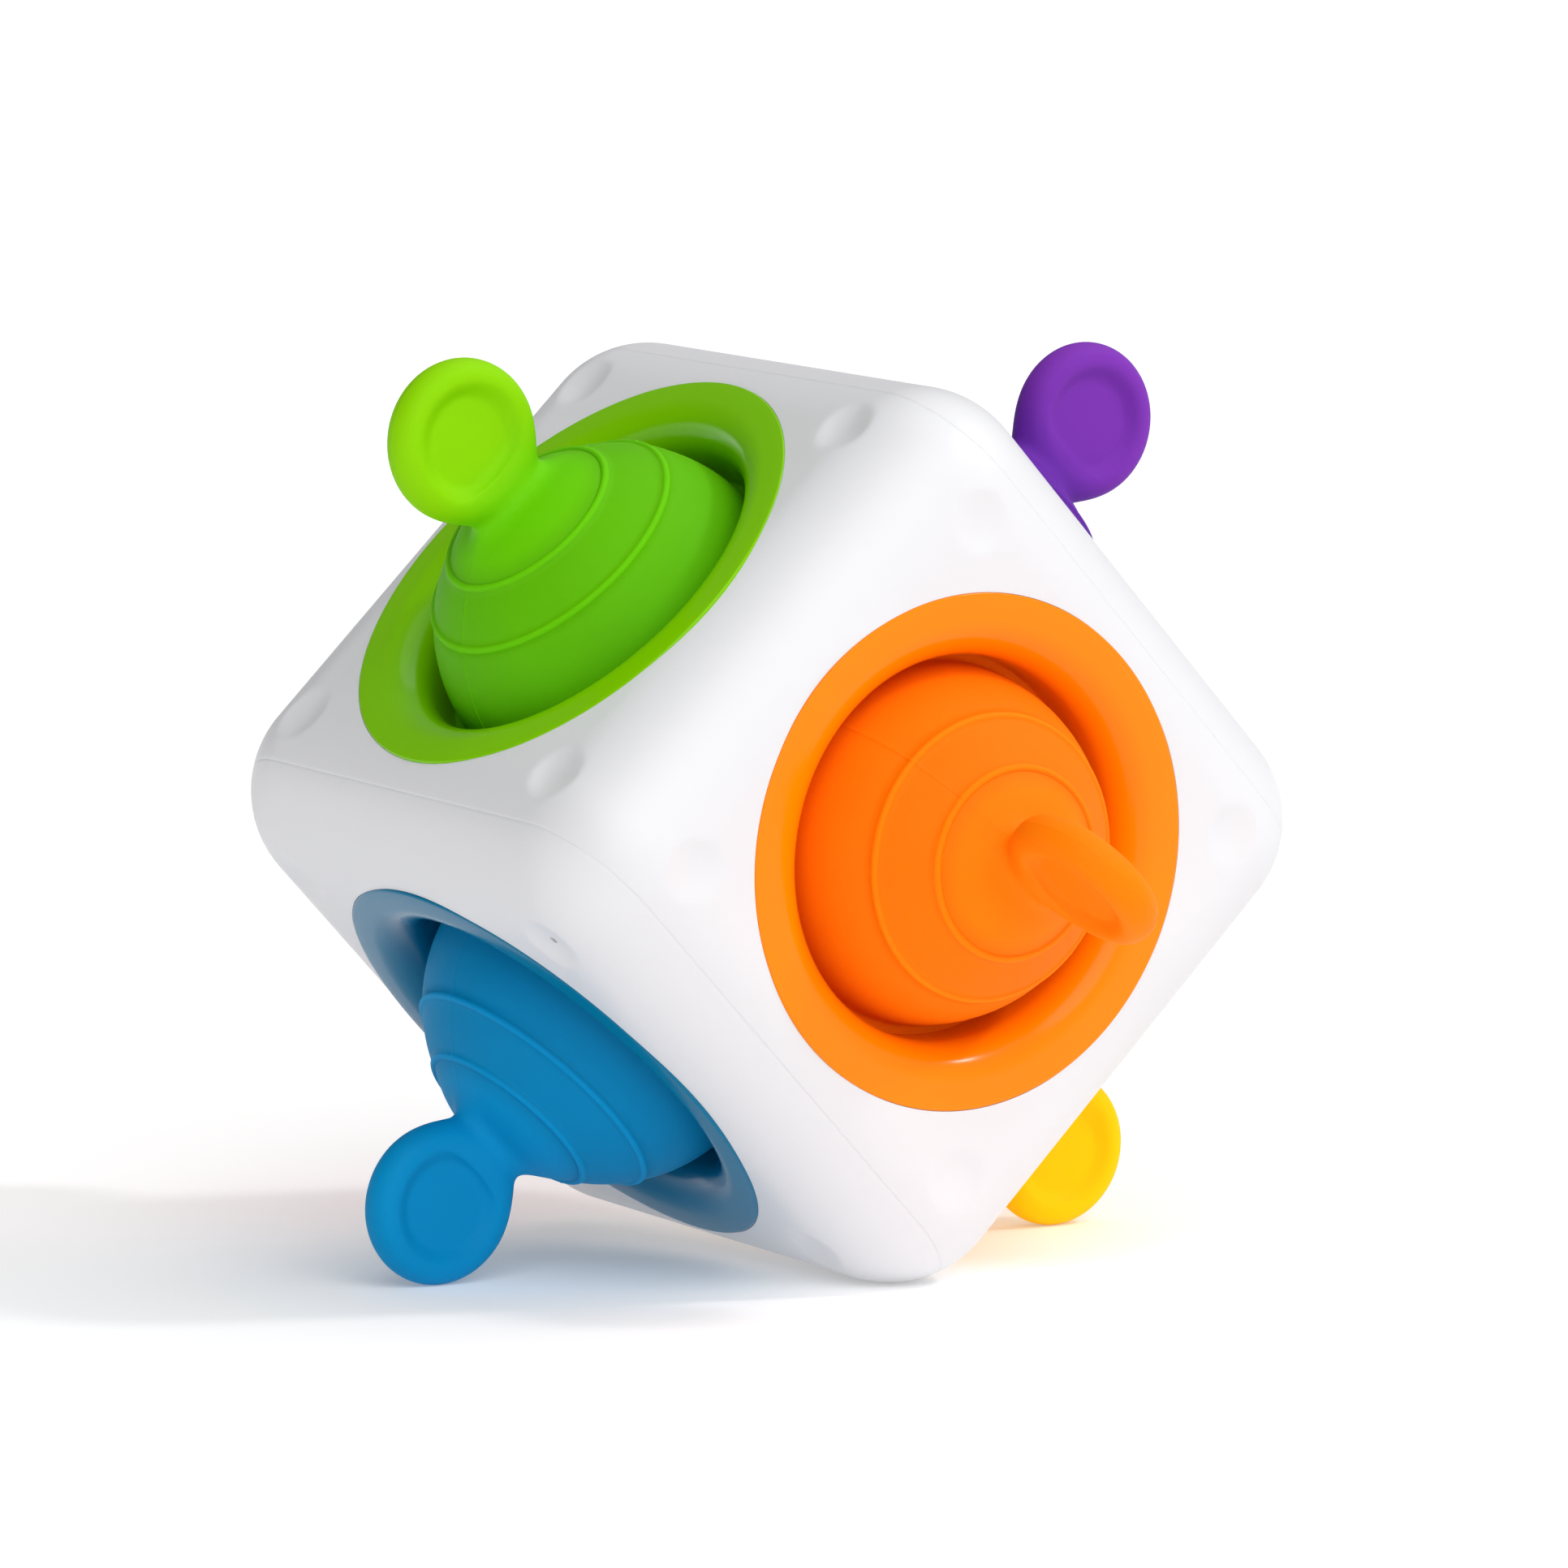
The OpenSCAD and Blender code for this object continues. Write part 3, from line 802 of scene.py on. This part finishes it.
def field_mesh(field, low_corner, high_corner, cell):
    """Points and quads of the surface where a field is zero, with one point in each cell it crosses."""
    axes = [np.arange(a, b + cell, cell) for a, b in zip(low_corner, high_corner)]
    inside = field(np.stack(np.meshgrid(*axes, indexing="ij"), -1)) < 0
    cells = [n - 1 for n in inside.shape]
    count = np.zeros(cells, int)
    for i, j, k in np.ndindex(2, 2, 2):
        count += inside[i:i + cells[0], j:j + cells[1], k:k + cells[2]]
    crossed = (count > 0) & (count < 8)
    number = np.full(cells, -1)
    number[crossed] = np.arange(crossed.sum())
    points = (np.argwhere(crossed) + 0.5) * cell + np.array(low_corner)
    quads = []
    for axis in range(3):
        here = np.delete(inside, -1, axis)
        at = np.argwhere(here != np.delete(inside, 0, axis))
        step_u, step_v = np.eye(3, dtype=int)[[(axis + 1) % 3, (axis + 2) % 3]]
        around = [at, at - step_u, at - step_u - step_v, at - step_v]
        quad = np.stack([number[tuple(corner.T)] for corner in around], -1)
        leaving = here[tuple(at.T)]
        quads.append(np.where(leaving[:, None], quad, quad[:, ::-1]))
    return points, np.concatenate(quads)


def settle(field, points, rounds=3):
    """Moves points along the field's slope until they lie on its surface."""
    step = 0.01
    for _ in range(rounds):
        slope = np.stack([
            (field(points + step * side) - field(points - step * side)) / (2 * step)
            for side in np.eye(3)], -1)
        steep = np.maximum((slope ** 2).sum(-1, keepdims=True), LEAST_SLOPE)
        points = points - field(points)[:, None] * slope / steep
    return points


def even_out(field, points, quads, rounds=5):
    """Spreads the points evenly over the surface, so that the shading has no ripple."""
    for _ in range(rounds):
        total = np.zeros_like(points)
        links = np.zeros(len(points))
        for k in range(4):
            np.add.at(total, quads[:, k], points[quads[:, (k + 1) % 4]] + points[quads[:, k - 1]])
            np.add.at(links, quads[:, k], 2)
        points = settle(field, total / links[:, None], 1)
    return settle(field, points)


tab_points, tab_quads = field_mesh(
    tab_field, (-REACH, -REACH, CROWN_CUT - 1), (REACH, REACH, FIELD_TOP), CELL)
tab_points = even_out(tab_field, settle(tab_field, tab_points), tab_quads)
print("tab surface:", len(tab_points), "points,", len(tab_quads), "quads")

# %% [markdown]
# All six tabs are this one surface, each in its own colour and its own face's axes. The rubber
# bends at the neck.


def tug_tab(colour):
    """The crown, neck and tab of one tug."""
    mesh = bpy.data.meshes.new(colour + "_tug_tab")
    mesh.from_pydata([FACES[colour] @ Vector(p) for p in tab_points], [], tab_quads.tolist())
    keep_place(mesh, tab_points)
    piece = finish_piece(mesh, colour + "_tug_tab", silicones[colour], math.radians(60))
    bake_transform(piece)
    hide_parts(colour + "_tab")
    return piece


for colour in COLOURS:
    print(tug_tab(colour).name, "made")

# %% [markdown]
# ## Inside the casing
# The clamp rings and the screws are plain engineering shapes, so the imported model's own nodes
# stay. Each gets the finish of its real material: natural polypropylene for the rings, which is
# milky and waxy, and zinc-plated steel for the screws, which is grey with a faint blue cast.

# %% Clamp rings and screws
def polypropylene_waxy():
    """Natural polypropylene: milky, slightly see-through, with a soft waxy gloss."""
    material, tree = new_material("clamp_polypropylene_waxy")
    bump = grain(tree, per_mm=1.2, strength=0.2, height_mm=0.03)
    shader = put(tree, "ShaderNodeBsdfPrincipled", {
        "Base Color": linear("#e4e4de"), "Roughness": 0.4, "IOR": 1.49, "Normal": (bump, "Normal"),
        "Subsurface Weight": 0.3, "Subsurface Radius": (1.0, 1.0, 0.9), "Subsurface Scale": 1.5 * MM})
    put(tree, "ShaderNodeOutputMaterial", {"Surface": (shader, "BSDF")})
    return material


def steel_zinc_plated():
    """Zinc-plated steel: a grey metal whose plating is mottled on a scale of about a millimetre."""
    material, tree = new_material("screw_steel_zinc_plated")
    place = put(tree, "ShaderNodeTexCoord")
    mottle = put(tree, "ShaderNodeTexNoise", {
        "Vector": (place, "Object"), "Scale": 1.0 / MM, "Detail": 2.0})
    rough = put(tree, "ShaderNodeMapRange", {"Value": (mottle, "Fac"), "To Min": 0.3, "To Max": 0.5})
    shader = put(tree, "ShaderNodeBsdfPrincipled", {
        "Base Color": linear("#b9bec4"), "Metallic": 1.0, "Roughness": (rough, "Result")})
    put(tree, "ShaderNodeOutputMaterial", {"Surface": (shader, "BSDF")})
    return material


waxy = polypropylene_waxy()
zinc = steel_zinc_plated()
for colour in COLOURS:
    for part, material in (("_clamp_ring", waxy), ("_screws", zinc)):
        for slot in frame["nodes"][colour + part].material_slots:
            slot.material = material
print("clamp rings and screws finished")
